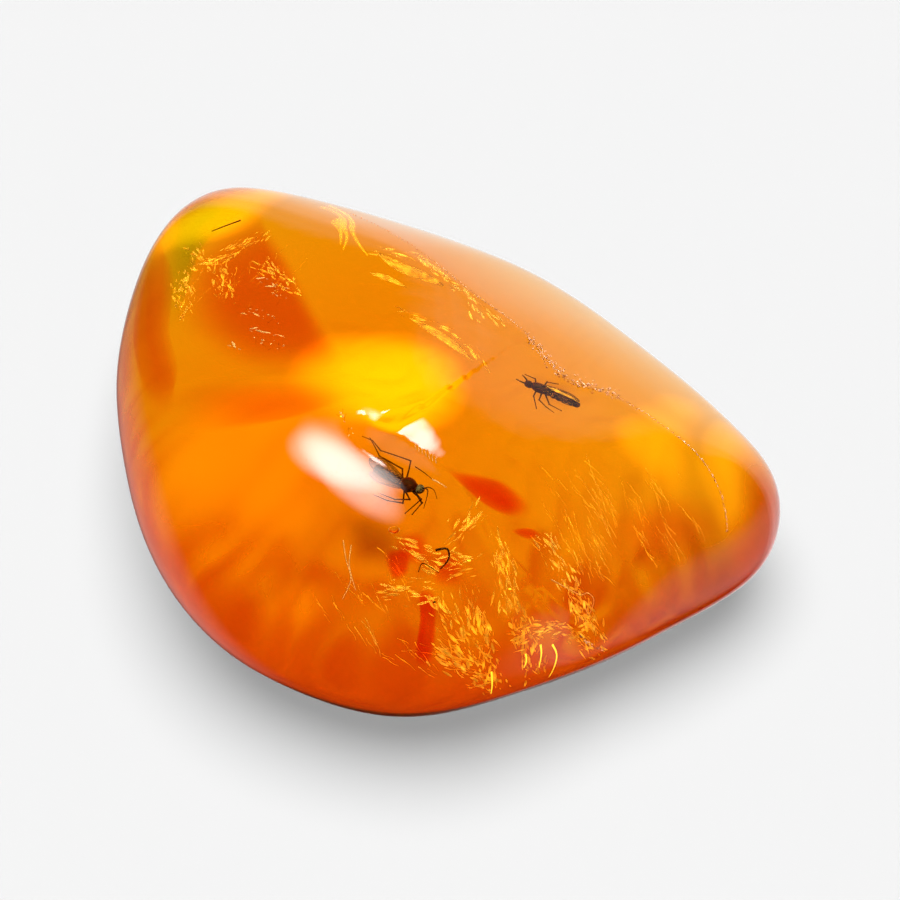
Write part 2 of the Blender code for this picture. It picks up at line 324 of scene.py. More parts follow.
def lamp_for(lit, name, direction, energy, spread, shaded_by=None):
    """A broad lamp that lights one collection alone, and that only a second one shades, if that is given.

    Its direction is an azimuth and an elevation, and its spread the width of the patch of sky it fills."""
    light = bpy.data.lights.new(name, "SUN")
    light.energy = energy
    light.angle = math.radians(spread)
    light.cycles.use_multiple_importance_sampling = False
    lamp = bpy.data.objects.new(name, light)
    scene.collection.objects.link(lamp)
    lamp.rotation_euler = Vector(toward(*direction)).to_track_quat("Z", "Y").to_euler()
    lamp.visible_glossy = lamp.visible_transmission = False
    lamp.light_linking.receiver_collection = lit
    if shaded_by:
        lamp.light_linking.blocker_collection = shaded_by


lit_by_fill = bpy.data.collections.new("lit_by_fill")
lit_by_fill.objects.link(floor)
OVERHEAD = (120, 87)
lamp_for(lit_by_fill, "fill", OVERHEAD, 22.6, 48)
lamp_for(lit_by_fill, "through_light", OVERHEAD, 10.1, 120, shaded_by=lit_by_fill)
print("stage pieces:", floor.name, sheet.name, tent.name)

# %% [markdown]
# ## The stone
# A beach pebble wears to a skin that is stretched over its hardest lumps. The form repeats the one that the
# packed halves were cut from: for each direction every ball says how far it reaches, and a soft maximum
# mixes their answers. Two things are finer here. A crease is worn along the seam between two runs of resin,
# steep on the side of the dome and slow on the other, and a sharp crest crosses the back.

# %% The lumps that the skin is stretched over, in mm
LUMPS = (
    ((-9.3, -8.4, 9.8), 10.2),  # the high dome on the left
    ((-1.7, -12, 9.3), 10.0),  # the front swell
    ((-16.1, 3.2, 9.2), 6.5),  # the left flank
    ((-15.2, 15.7, 7.8), 6.3),  # the far left corner
    ((2.6, 10.8, 6.5), 5.6),  # the back edge
    ((9.2, 5.6, 6), 5.1),  # the right of the back edge
    ((17, -6.4, 7.5), 6.3),  # the blunt right tip
    ((-3.3, 8.2, 15.3), 2.3),  # the far end of the crest
    ((7, -1.4, 14.5), 1.9),  # the middle of the crest
    ((15.4, -5.4, 11.9), 1.9),  # the near end of the crest
    ((-2, 3, 7.4), 7.3),  # the belly, which widens the flat underneath
)
MIDDLE = Vector((0, 0, 9.7))
SKIN_TENSION = 16
FINENESS = 7  # subdivisions of the icosphere, for the skin as for the stone


def skin_points(normals):
    """Where a skin that is stretched over all the lumps touches a plane with each of these normals."""
    centres = np.array([centre for centre, _ in LUMPS]) - np.array(MIDDLE)
    radii = np.array([radius for _, radius in LUMPS])
    reach = np.maximum(normals @ centres.T + radii, 0.001)
    longest = reach.max(axis=1, keepdims=True)
    total = longest * ((reach / longest) ** SKIN_TENSION).sum(axis=1, keepdims=True) ** (1 / SKIN_TENSION)
    share = (reach / total) ** (SKIN_TENSION - 1)
    return share @ centres + normals * (share @ radii)[:, None]


def stretched_skin():
    """A search tree over the skin, so that any direction from the middle finds its point."""
    ball = bmesh.new()
    bmesh.ops.create_icosphere(ball, subdivisions=FINENESS, radius=1.0)
    normals = np.array([vertex.co.normalized()[:] for vertex in ball.verts])
    for vertex, point in zip(ball.verts, skin_points(normals)):
        vertex.co = point
    tree = BVHTree.FromBMesh(ball)
    ball.free()
    return tree


SKIN = stretched_skin()
print("top of the stretched skin:", round(SKIN.ray_cast(Vector(), Vector((0, 0, 1)))[3] + MIDDLE.z, 2), "mm")

# %% [markdown]
# Both seams are polylines on the surface. The distance to one, and which side of it a point lies on, is all
# that the crease and the crest need.

# %% The crease and the crest
CREASE = ((-5.6, -7, 20), (-3.5, -9.3, 19.6), (-0.9, -11.3, 19), (1.8, -14, 18),
          (3.7, -16.3, 16.3), (5.7, -17.9, 13.5), (8.3, -18.4, 10.7), (10.5, -17.9, 7.7))
CREST = ((-6.7, 15.3, 14.6), (-3, 10.6, 16.7), (1.3, 5.9, 17.2), (5.3, 2, 16.9), (8, -1.9, 16.8),
         (12, -3.2, 15.8), (15.9, -5.9, 14.8), (18.1, -8.8, 13.7), (18.9, -11.2, 11.9))
CREASE_DEPTH = 0.65
CREASE_SLOPE = 2.3  # how far the slope on the side of the dome reaches
CREASE_HOLLOWNESS = 1.3  # 1 would be a straight slope
CREASE_RECOVERY = (0.4, 3.6)  # how slowly the other side comes back, at the far end and further on
CREASE_OPENS = (1.6, 4.1)  # between these lengths along it the one becomes the other
CREASE_REACH = 20.0  # nothing is felt of the crease beyond this
CREASE_ENDS = 3.6  # lengths over which the seams begin and end
CREST_ENDS = 5.0
CREST_HEIGHT = 0.2
CREST_WIDTH = 1.4
CREST_ROUNDING = 0.25
FLATTENED = 5.0  # rocking on sand has flattened the underside up to this height
FLATNESS = 0.85
HOLLOWS = 0.15  # depth of the shallow hollows that are left underneath
HOLLOW_WIDTH = 1.6
WAVE_HEIGHT = 0.14  # of the long, low waves that tumbling leaves all over
WAVE_LENGTH = 8.0
print("crease points:", len(CREASE), "and crest points:", len(CREST))


# %% How far a point lies from a seam
def beside(path, point):
    """The distance from a path, how far along it, its length, and +1 to the right of it, seen from above."""
    best = (math.inf, 0.0, 1.0)
    run = 0.0
    for start, end in zip(path, path[1:]):
        start, end = Vector(start), Vector(end)
        span = end - start
        part = min(max((point - start).dot(span) / span.length_squared, 0.0), 1.0)
        gap = point - start - part * span
        if gap.length < best[0]:
            side = 1.0 if span.x * gap.y - span.y * gap.x < 0 else -1.0
            best = (gap.length, run + part * span.length, side)
        run += span.length
    return best[0], best[1], run, best[2]


print("beside the crest's start:", [round(v, 2) for v in beside(CREST, Vector((-6, 15, 15)))])


# %% The worn surface, crease and crest included
def ease(part):
    """0 up to 0, 1 from 1 on, and a smooth S between them."""
    part = min(max(part, 0.0), 1.0)
    return part * part * (3 - 2 * part)


def fade(along, length, run_in):
    return ease(min(along / run_in, (length - along) / run_in))


def crease_depth(point):
    distance, along, length, side = beside(CREASE, point)
    if distance > CREASE_REACH:
        return 0.0
    deep = CREASE_DEPTH * fade(along, length, CREASE_ENDS)
    if side > 0:  # the dome's side
        return deep * max(1 - distance / CREASE_SLOPE, 0.0) ** CREASE_HOLLOWNESS
    start, end = CREASE_OPENS
    quick, slow = CREASE_RECOVERY
    return deep * math.exp(-distance / (quick + (slow - quick) * ease((along - start) / (end - start))))


def crest_height(point):
    distance, along, length, _ = beside(CREST, point)
    near = math.hypot(distance, CREST_ROUNDING)
    return CREST_HEIGHT * fade(along, length, CREST_ENDS) * math.exp(-near / CREST_WIDTH)


def on_stone(direction):
    """The point of the worn surface in a direction from the middle."""
    distance = SKIN.ray_cast(Vector(), direction)[3]
    point = MIDDLE + direction * distance
    out = WAVE_HEIGHT * noise.noise(point / WAVE_LENGTH)
    if point.z > FLATTENED:
        out += crest_height(point) - crease_depth(point)
    return point + direction * out


print("the surface above the middle is at", round(on_stone(Vector((0, 0, 1))).z, 2), "mm")


# %% The worn pebble as one closed mesh, flat underneath
def make_pebble():
    shape = bmesh.new()
    bmesh.ops.create_icosphere(shape, subdivisions=FINENESS, radius=1.0)
    for vertex in shape.verts:
        vertex.co = on_stone(vertex.co.normalized())
    for vertex in shape.verts:
        height = max(vertex.co.z, 0.0)
        if height < FLATTENED:  # pressed down towards the table, with shallow hollows left in between
            low = (1 - height / FLATTENED) ** 2
            height -= FLATNESS * height * low
            height += HOLLOWS * low * abs(noise.noise(vertex.co / HOLLOW_WIDTH))
        vertex.co.z = height
    return shape


pebble = make_pebble()
print("pebble:", len(pebble.faces), "triangles, top at", round(max(v.co.z for v in pebble.verts), 2), "mm")

# %% [markdown]
# Baltic amber is a resin with the index of a good plastic, 1.54, and its polish leaves no grain that the
# eye can find, so the skin that shows is perfectly smooth and all the colour is inside. The volume swallows
# blue at once and green slowly, so a thin edge is lemon, the middle is honey and a long way through is red.
# That is one number per channel, and the resin needs no painted colour at all. Only the underside is
# frosted.

# %% The clear resin
# Succinite, the resin of the stone
AMBER_INDEX = 1.54
HONEY = (0.983, 0.833, 0.048)
HONEY_DENSITY = 420.0
amber = see_through("amber", 0.0, AMBER_INDEX, HONEY, HONEY_DENSITY)
# The underside was never polished: its sea-worn frost spreads the light that comes up through the stone.
# The polishing belt ran out gradually, so the frost grows in steps as the skin turns downwards
FROST = ((-0.20, 0.10), (-0.35, 0.22), (-0.50, 0.40))  # how far the skin faces down, how rough it is there
pebble.normal_update()
for face in pebble.faces:
    if face.calc_center_median().z < FLATTENED:
        face.material_index = sum(face.normal.z < turned for turned, _ in FROST)

stone = make_object("amber_stone", pebble, amber)
for step, (_, roughness) in enumerate(FROST, 1):
    stone.data.materials.append(
        see_through(f"sea_worn_amber_{step}", roughness, AMBER_INDEX, HONEY, HONEY_DENSITY))
stone.visible_diffuse = False  # the paper is lit by its own lamps, so no light has to be traced through to it
seal_in(stone, "amber", "amber_upper", "amber_lower")

# %% [markdown]
# ## Shapes that everything inside the stone is made of
# Three closed shapes are enough: an oval for a body, a crumb or a bubble, a strand for a leg, a hair or a
# thread, and a lens for a wing, a crack or a flow. All of them are watertight, because a thing inside clear
# resin is seen from every side at once.


# %% Smooth curves
def smooth_path(points, steps=4, closed=False):
    """A Catmull-Rom curve through the points."""
    points = [Vector(point) for point in points]
    count = len(points)
    curve = []
    for i in range(count if closed else count - 1):
        pick = (lambda k: points[k % count]) if closed else (lambda k: points[min(max(k, 0), count - 1)])
        a, b, c, d = (pick(i + k) for k in (-1, 0, 1, 2))
        for step in range(steps):
            t = step / steps
            curve.append(0.5 * (2 * b + (c - a) * t + (2 * a - 5 * b + 4 * c - d) * t * t
                                + (3 * b - a - 3 * c + d) * t ** 3))
    return curve if closed else curve + [points[-1]]


print("four points become", len(smooth_path(((0, 0, 0), (1, 0, 0), (1, 1, 0), (0, 1, 0)))))


# %% Ovals and strands
def oval(shape, centre, half_sizes, fineness=3):
    place = Matrix.Translation(centre) @ Matrix.Diagonal((*half_sizes, 1))
    bmesh.ops.create_icosphere(shape, subdivisions=fineness, radius=1.0, matrix=place)


def strand(shape, points, radius, tip=None, sides=6):
    """A closed tube along the points, tapering from radius to tip."""
    points = [Vector(point) for point in points]
    tip = radius if tip is None else tip
    across = Vector((0.3, 0.5, 0.8))
    rings = []
    for i, point in enumerate(points):
        ahead = (points[min(i + 1, len(points) - 1)] - points[max(i - 1, 0)]).normalized()
        across = (across - ahead * across.dot(ahead)).normalized()
        over = ahead.cross(across)
        size = radius + (tip - radius) * i / (len(points) - 1)
        rings.append([shape.verts.new(point + size * (across * math.cos(a) + over * math.sin(a)))
                      for a in (2 * math.pi * k / sides for k in range(sides))])
    for near, far in zip(rings, rings[1:]):
        for k in range(sides):
            shape.faces.new((near[k], near[(k + 1) % sides], far[(k + 1) % sides], far[k]))
    shape.faces.new(rings[0][::-1])
    shape.faces.new(rings[-1])


trial = bmesh.new()
strand(trial, ((0, 0, 0), (1, 0, 0), (2, 0.5, 0)), 0.1)
print("one strand has", len(trial.faces), "faces")
trial.free()


# %% Lenses
def lens(shape, outline, thickness, feather=1.0, rings=6, steps=3, heart=None):
    """A closed sheet inside an outline: full thickness at its heart, thinning over the feathered rim."""
    edge = smooth_path(outline, steps, closed=True)
    middle = Vector(heart) if heart else sum(edge, Vector()) / len(edge)
    corners = zip(edge, edge[1:] + edge[:1])
    normal = sum(((a - middle).cross(b - middle) for a, b in corners), Vector()).normalized()
    sides = {}
    for side in (1, -1):
        sides[side] = [[shape.verts.new(middle + normal * (side * thickness / 2))]]
        for k in range(1, rings):
            f = k / rings
            lift = side * thickness / 2 * ease((1 - f) / feather)
            loop = [middle + (point - middle) * f + normal * lift for point in edge]
            sides[side].append([shape.verts.new(point) for point in loop])
    rim = [shape.verts.new(point) for point in edge]
    for side in (1, -1):
        loops = sides[side][1:] + [rim]
        for k in range(len(edge)):
            j = (k + 1) % len(edge)
            shape.faces.new((sides[side][0][0], loops[0][k], loops[0][j]))
            for near, far in zip(loops, loops[1:]):
                shape.faces.new((near[k], far[k], far[j], near[j]))


trial = bmesh.new()
lens(trial, ((0, 0, 0), (2, 0, 0), (2, 1, 0), (0, 1, 0)), 0.2)
print("one lens has", len(trial.faces), "faces, open edges:", sum(not e.is_manifold for e in trial.edges))
trial.free()

# %% [markdown]
# ## Runs and stains
# The resin came down the bark in runs. Some zones of the stone are a darker, burnt orange. One run caught
# pollen, which makes it olive, and wood dust left brown clouds by both insects. Pine tar crept along a few
# seams and left red stains. Each is a clear lens with no surface of its own: an index of 1 bends nothing,
# and only its volume tints what passes through it.

# %% Tints without a surface
def clear_tint(name, colour, density):
    """A material that bends nothing and reflects nothing: only its depth tints the light."""
    return see_through(name, 0.0, 1.0, colour, density)


# A darker tint of the resin: it turns the honey behind it to a burnt orange
darker_tint = clear_tint("darker_zone_tint", (0.89, 0.40, 0.20), 500.0)
# Rotten wood dust: it takes some of every colour, and leaves a brown cloud below the gnat and around the
# fly
brown_haze = clear_tint("wood_dust_haze", (0.60, 0.42, 0.20), 500.0)
# The first run, which caught pollen: it turns the thin honey of the far corner to olive
pollen_haze = clear_tint("pollen_haze", (0.84, 0.96, 0.30), 1200.0)
# A stain of pine tar: so thin that it has to be strong, and it lets only red through
red_stain = clear_tint("red_stain", (0.942, 0.20, 0.05), 2000.0)

print("tints:", darker_tint.name, brown_haze.name, pollen_haze.name, red_stain.name)

# %% Where the runs and stains lie
DARKER_ZONES = (  # outline, thickness, width of the soft rim as a share of the whole, thickest point; all in mm
    (((-13.8, 17.6, 8), (-12.3, 15.1, 9.1), (-10.6, 11.1, 10.5), (-8.9, 6, 11.6), (-6.8, -0.3, 13),
      (-8.6, -1.9, 13.1), (-13.1, -0.6, 12.2), (-17, 5, 10.5), (-17.8, 13, 8.4)), 3.2, 0.6, (-11.2, 6, 11.2)),
    (((-17, -0.5, 10.9), (-14, -1, 12.3), (-10.5, -2, 13.3), (-6.7, -2.7, 13.9), (-5.6, -3.9, 14.3),
      (-9.2, -5.7, 14), (-13, -5.7, 13), (-16, -4, 11.6)), 2.1, 1, (-10.5, -4.9, 13.7)),
    (((-19.2, 16, 8.6), (-19, 10, 11.2), (-18.6, 4, 12.5), (-17, -2.6, 14), (-18, -3, 12.8),
      (-19.5, 1.3, 11.3), (-20.3, 8, 9.6)), 2.6, 0.5, None),
    (((9.2, -10.2, 11), (12.4, -8.3, 10.7), (16.5, -6.8, 9.3), (19, -7.2, 7.8), (17.2, -9.2, 6.9),
      (13.6, -11.3, 7.9), (10, -12, 9.7)), 2.2, 1, None),
)
POLLEN = (
    (((-19.4, 12.2, 10.6), (-19, 16.6, 9.3), (-17.6, 18.8, 9.3), (-15.4, 19, 9.7), (-13.2, 17.6, 10.8),
      (-14.7, 14.8, 12), (-17.1, 10.7, 12.3), (-17.6, 3.7, 13.2), (-18.9, 5.7, 12.2)),
     2.4, 0.7, (-17.2, 16, 10.7)),
)
BROWN_HAZE = (
    (((4.9, -0.9, 13.4), (6.6, -0.3, 13), (9, -1.2, 12.5), (9.2, -3.1, 12.5), (7.2, -3.5, 13.1),
      (5.5, -2.8, 13.4)), 1.2, 1, None),
    (((-6.4, -12.2, 14.4), (-4.4, -12, 14.4), (-2.2, -13, 13.8), (-2.4, -14.8, 12.8), (-5.6, -14.6, 13)),
     2.4, 0.9, (-4.4, -13.2, 13.6)),
)
STAINS = (
    (((0, -10, 15.5), (3, -10, 15), (4.5, -10.5, 14.5), (5.5, -11.5, 14), (4.5, -12.5, 14.5), (2.5, -12, 15)),
     1.0, 0.6, (2.8, -11.2, 15)),
    (((4.2, -13.6, 15), (5.4, -13.2, 14.7), (6.2, -13.5, 14.4), (5.3, -13.9, 14.5)), 0.8, 0.6, None),
    (((-1.5, -16.6, 13.4), (-0.6, -16.6, 13), (-0.6, -18, 10.5), (-1, -18.3, 8.8), (-1.8, -18.3, 9.2),
      (-1.5, -17.6, 12)), 0.8, 0.4, None),
    (((-3.6, -15, 14.8), (-2.2, -14.8, 14.7), (-2.1, -16, 14), (-3.1, -16.4, 13.8)), 0.9, 0.6, None),
    (((-3, -13.7, 14.5), (-1.2, -13.5, 14.3), (-0.8, -15.1, 13.8), (-2.6, -15.4, 14)), 0.6, 0.8, None),
    (((-0.6, -14.6, 14), (1, -14.6, 13.8), (0.9, -16.2, 13), (-0.8, -16.4, 13.4)), 0.5, 0.8, None),
)


def seal_in_tint(name, lenses, material):
    shape = bmesh.new()
    for outline, thickness, feather, heart in lenses:
        lens(shape, outline, thickness, feather, rings=12, steps=5, heart=heart)
    tinted = make_object(name, shape, material)
    tinted.visible_diffuse = False
    return seal_in(tinted, "amber")


seal_in_tint("dark_runs", DARKER_ZONES, darker_tint)
seal_in_tint("pollen_haze", POLLEN, pollen_haze)
seal_in_tint("brown_haze", BROWN_HAZE, brown_haze)
seal_in_tint("red_stains", STAINS, red_stain)

# %% [markdown]
# ## Lighting what lies inside
# Refraction scatters light so widely that a small thing inside a stone would need thousands of rays to be
# lit evenly. A lamp that shines only on the sealed things, and that only they can shade, does it in one.

# %% A lamp for the inclusions alone
inside = bpy.data.collections.new("inside")
lamp_for(inside, "inner_key", (80, 62), 6.0, 35, shaded_by=inside)
lamp_for(inside, "inner_fill", (-95, 50), 1.6, 60, shaded_by=inside)
print("lamps for the inclusions: inner_key, inner_fill")


def seal_in_lit(piece, slot, *replaced):
    inside.objects.link(piece)
    return seal_in(piece, slot, *replaced)


def seal_in_shape(name, shape, material, slot, *replaced):
    return seal_in_lit(make_object(name, shape, material), slot, *replaced)


# %% [markdown]
# ## One rule for everything that repeats
# Golden cracks, wisps, chips and crumbs all follow lines, such as the seam between two runs of resin. One
# Geometry Nodes tree strews copies of a small shape along them, turned to follow them, with a seed that
# keeps the result the same every time.


# %% The tree that strews things along lines
HALF_TURN = 3.1416


def make_strewing_tree():
    tree = bpy.data.node_groups.new("strew_along_lines", "GeometryNodeTree")
    for name, kind in (("Lines", "Geometry"), ("Shape", "Object"), ("Spacing", "Float"), ("Spread", "Float"),
                       ("Smallest", "Float"), ("Largest", "Float"), ("Lean", "Float"), ("Seed", "Int"),
                       ("Finish", "Material")):
        tree.interface.new_socket(name, in_out="INPUT", socket_type=f"NodeSocket{kind}")
    tree.interface.new_socket("Strewn", in_out="OUTPUT", socket_type="NodeSocketGeometry")
    given = add(tree, "NodeGroupInput").outputs

    def either_way(x, y, z, seed):
        """A random vector, each part of it between minus and plus its limit."""
        most = add(tree, "ShaderNodeCombineXYZ", {"X": x, "Y": y, "Z": z}).outputs[0]
        least = add(tree, "ShaderNodeVectorMath", {0: most, "Scale": -1.0}, operation="SCALE").outputs[0]
        return add(tree, "FunctionNodeRandomValue", {
            0: least, 1: most, "Seed": seed}, data_type="FLOAT_VECTOR").outputs[0]

    curve = add(tree, "GeometryNodeMeshToCurve", {"Mesh": given["Lines"]})
    even = add(tree, "GeometryNodeResampleCurve", {
        "Curve": curve.outputs[0], "Length": given["Spacing"]}, mode="LENGTH")
    tangent = add(tree, "GeometryNodeInputTangent")
    along = add(tree, "FunctionNodeAlignRotationToVector", {"Vector": tangent.outputs[0]}, axis="X")
    shape = add(tree, "GeometryNodeObjectInfo", {"Object": given["Shape"]})
    size = add(tree, "FunctionNodeRandomValue", {
        "Min": given["Smallest"], "Max": given["Largest"], "Seed": given["Seed"]})
    copies = add(tree, "GeometryNodeInstanceOnPoints", {
        "Points": even.outputs[0], "Instance": shape.outputs["Geometry"], "Rotation": along.outputs[0],
        "Scale": size.outputs["Value"]})
    roll = either_way(HALF_TURN, given["Lean"], given["Lean"], given["Seed"])
    turned = add(tree, "GeometryNodeRotateInstances", {"Instances": copies.outputs[0], "Rotation": roll})
    other_seed = add(tree, "ShaderNodeMath", {0: given["Seed"], 1: 7.0}, operation="ADD").outputs[0]
    drift = either_way(given["Spread"], given["Spread"], given["Spread"], other_seed)
    moved = add(tree, "GeometryNodeTranslateInstances", {
        "Instances": turned.outputs[0], "Translation": drift, "Local Space": False})
    real = add(tree, "GeometryNodeRealizeInstances", {"Geometry": moved.outputs[0]})
    finished = add(tree, "GeometryNodeSetMaterial", {
        "Geometry": real.outputs[0], "Material": given["Finish"]})
    add(tree, "NodeGroupOutput", {"Strewn": finished.outputs[0]})
    return tree


STREW = make_strewing_tree()
print("inputs:", [item.name for item in STREW.interface.items_tree if item.in_out == "INPUT"])


# %% Strewing as one call
def strew(name, lines, shape, spacing, spread, sizes, lean, seed, finish):
    """Copies of a small object along lines, as one plain mesh that is sealed in.

    Lines, spacing and spread are in mm; sizes are the smallest and the largest copy; lean is the most that a
    copy may turn away from its line, in radians."""
    guide = bpy.data.meshes.new(name + "_lines")
    points, edges = [], []
    for line in lines:
        start = len(points)
        points.extend(Vector(point) * MM for point in line)
        edges.extend((k, k + 1) for k in range(start, len(points) - 1))
    guide.from_pydata(points, edges, [])
    strewn = bpy.data.objects.new(name, guide)
    scene.collection.objects.link(strewn)
    modifier = strewn.modifiers.new("strew", "NODES")
    modifier.node_group = STREW
    values = {"Shape": shape, "Spacing": spacing * MM, "Spread": spread * MM, "Smallest": sizes[0],
              "Largest": sizes[1], "Lean": lean, "Seed": seed, "Finish": finish}
    for item in STREW.interface.items_tree:
        if item.name in values:
            modifier[item.identifier] = values[item.name]
    settled = strewn.evaluated_get(bpy.context.evaluated_depsgraph_get())
    mesh = bpy.data.meshes.new_from_object(settled)
    strewn.modifiers.remove(modifier)
    strewn.data = mesh
    if not mesh.materials:
        mesh.materials.append(finish)
    return seal_in_lit(strewn, "amber")


def pattern_piece(name, draw):
    """A small object to copy, kept out of the scene's collection so that only its copies are seen."""
    shape = bmesh.new()
    draw(shape)
    return bpy.data.objects.new(name, make_mesh(name, shape))


LEAF = ((-1, 0, 0), (-0.3, 0.22, 0.05), (0.5, 0.16, 0), (1, 0, 0.08), (0.4, -0.2, 0), (-0.4, -0.15, -0.06))
FLAKE = pattern_piece("flake", lambda shape: lens(shape, LEAF, 0.08, rings=2, steps=2))
FIBRE = pattern_piece("fibre", lambda shape: strand(
    shape, smooth_path(((-1, 0, 0), (-0.4, 0.09, 0.02), (0.3, 0, 0.06), (1, 0.12, 0))), 0.03, 0.012, sides=4))
CRUMB = pattern_piece("crumb", lambda shape: oval(shape, (0, 0, 0), (1, 0.6, 0.45), fineness=1))
print("pattern pieces:", FLAKE.name, FIBRE.name, CRUMB.name)

# %% [markdown]
# ## Golden cracks
# Where the resin shrank, disc-shaped cracks opened, and the air in them mirrors the light above. Seen
# through honey the mirror turns to gold. Three big ones and the bent rim of a fourth lie under the crest,
# and hundreds of small ones stream down the front, where the crease meets the table. The mirrored lamps are
# too small for a picture to find by chance, so the gold is a faint glow of the crack itself, uneven where
# the crack is stepped.

# %% The gold of an air-filled crack
# An air-filled crack in resin: nearly a mirror, softened a little by its stepped, shell-like faces. Its
# emission is a painted reflection that stands in for the mirrored lamps, uneven where the crack is stepped
crack_gold, tree = new_material("air_crack")
patches = add(tree, "ShaderNodeTexNoise", {  # about 0.7 mm apart
    "Vector": add(tree, "ShaderNodeTexCoord").outputs["Object"], "Scale": 1400.0, "Detail": 1.0})
sparkle = add(tree, "ShaderNodeMapRange", {
    "Value": patches.outputs["Fac"], "From Min": 0.46, "From Max": 0.68, "To Min": 0.3, "To Max": 1.2,
}).outputs["Result"]
mirror = add(tree, "ShaderNodeBsdfPrincipled", {
    "Base Color": linear("#FFC860"), "Metallic": 0.35, "Roughness": 0.28, "IOR": 1.3, "Alpha": 0.5,
    "Emission Color": linear("#FFC24A"), "Emission Strength": sparkle,
})
show(tree, mirror)
print("crack finish:", crack_gold.name)

# %% Big cracks
BIG_CRACKS = (
    ((-4.5, 9.6, 14.4), (-3, 8.8, 14.2), (-1.5, 8.2, 13.6), (-0.3, 7.2, 13), (-2.5, 7.2, 14.8),
     (-3.7, 8, 15)),
    ((-5, 7.3, 14.9), (-3.9, 7.2, 14.7), (-2.7, 6.2, 14.4), (-4, 6.5, 15.1)),
    ((-2.5, 2.8, 15.5), (-1, 2.3, 14.9), (0.5, 1.4, 14.3), (1.7, -0.2, 13.9), (0.5, 0.5, 14.6),
     (-1, 1.5, 15.2)),
)
shape = bmesh.new()
for outline in BIG_CRACKS:
    lens(shape, outline, 0.12, rings=5, steps=4)
seal_in_shape("big_cracks", shape, crack_gold, "amber")

# %% Rims of cracks
CRESCENT = (  # the stepped rim of one disc-shaped crack, as three arcs
    ((-9.3, 16, 11.1), (-8.2, 15, 11.6), (-7.2, 13.3, 12.6), (-6.7, 11.7, 13.4), (-6.9, 10.2, 13.9)),
    ((-8.9, 16.6, 10.5), (-7.6, 15, 11.5), (-6.6, 12.9, 12.8), (-6, 11.2, 13.6), (-5.2, 9.4, 14.2)),
    ((-7.8, 13.8, 12.4), (-7.2, 12.5, 13.1), (-7.1, 10.9, 13.6)),
)
GLINTS = (  # cracks that happen to lie at the mirror angle, just under the skin
    ((3.1, -20.3, 9.4), (3.15, -20.2, 8), (3.1, -20, 6.5)),
    ((5.3, -19.4, 10), (5.35, -19.4, 9.3), (5.2, -19.5, 8.7)),
    ((6.2, -18.8, 10.1), (6.3, -19, 9.3), (6.2, -19.1, 8.1)),
    ((7, -18.5, 9.6), (7.3, -18.5, 8.6), (7.2, -18.5, 7.3), (6.9, -18.3, 6)),
)


def crack_rim(name, colour, strength, alpha):
    """The smooth rim of a crack, which has no steps: one even gold, as strong as its angle to the light."""
    return principled(name, {
        "Base Color": linear(colour), "Metallic": 0.35, "Roughness": 0.2, "Alpha": alpha,
        "Emission Color": linear(colour), "Emission Strength": strength,
    })


# A painted reflection: seen askew the rim glows a dull gold, and straight at the mirror angle it is the
# brightest thing in the stone
dull_rim = crack_rim("crack_rim_askew", "#FFB92E", 0.95, 0.6)
bright_rim = crack_rim("crack_rim_at_the_mirror_angle", "#FFD83A", 1.5, 1.0)
shape = bmesh.new()
for arc in CRESCENT:
    strand(shape, smooth_path(arc), 0.26, 0.05, sides=8)
seal_in_shape("crescent", shape, dull_rim, "amber")
shape = bmesh.new()
for line in GLINTS:
    strand(shape, smooth_path(line), 0.07, 0.03, sides=8)
for speck in ((1.6, -16.5, 15.9), (-6.5, -7.6, 18.8), (4.1, -17.2, 13.9)):
    oval(shape, speck, (0.12, 0.07, 0.05), fineness=1)
seal_in_shape("glints", shape, bright_rim, "amber")


# %% Small cracks, strewn
RAGGED = (  # where the big cracks fray, along the foot of the crest
    ((-5, 9.8, 14.6), (-2.4, 9.2, 15), (0, 7.2, 15)),
    ((-1.6, 8.6, 15.6), (1.6, 5.4, 16.2), (4.2, 2.6, 16.2)),
    ((-3.2, 3.4, 15.4), (0.2, 2, 15), (2.6, -0.6, 14.4)),
    ((1.8, 4.4, 16), (2.4, 3.2, 15.8)),
)
STREAMS = (  # lines in mm that the small cracks follow, down the front and under the far left corner
    ((3.5, -14, 14), (4, -16.5, 12), (5, -17, 8.5), (5.5, -16.5, 6)),
    ((3, -14, 14), (3.5, -16.5, 11.5)),
    ((8.5, -15.5, 11.5), (10, -16, 7.5)),
    ((6.5, -14, 14.5), (8.5, -15.7, 11), (9.5, -16, 8)),
    ((-0.5, -17, 13), (0.8, -18.2, 10.5), (1.5, -18, 8.5)),
    ((1.5, -17, 13.5), (2.5, -18.2, 10), (2.7, -18, 7)),
    ((-2.5, -15, 15.7), (0, -16, 14.8), (1.5, -15.5, 14.5)),
    ((-3.5, -17.4, 14), (-0.8, -17.2, 14)),
    ((-0.5, -19.2, 11), (1.2, -19.2, 9), (3.3, -17.8, 6)),
    ((4.5, -17.8, 10), (7.5, -16.5, 9), (9.8, -15.4, 6)),
    ((0.5, -14.7, 15.4), (2, -12.5, 15.4)),
    ((-17.5, 12.5, 11.7), (-16, 10.3, 12.6), (-12.7, 13, 12.7)),
    ((-17.8, 9.6, 12.2), (-17.2, 5.3, 13.2)),
    ((-15.8, 10.2, 12.7), (-14.5, 5.8, 14)),
    ((-12.5, 9.4, 13.7), (-10.2, 5.5, 15)),
)
frayed = [smooth_path(line, 6) for line in RAGGED]
strew("frayed_cracks", frayed, FLAKE, 0.16, 0.35, (0.10, 0.50), 0.30, 6, crack_gold)
streams = [smooth_path(stream, 6) for stream in STREAMS]
strew("small_cracks", streams, FLAKE, 0.07, 0.65, (0.10, 0.50), 0.40, 3, crack_gold)

# %% [markdown]
# Wisps are cracks that closed again: only their edges still catch the light. Most of them run slantwise
# through the right half of the stone, and a few hang below the gnat and in the far corner.

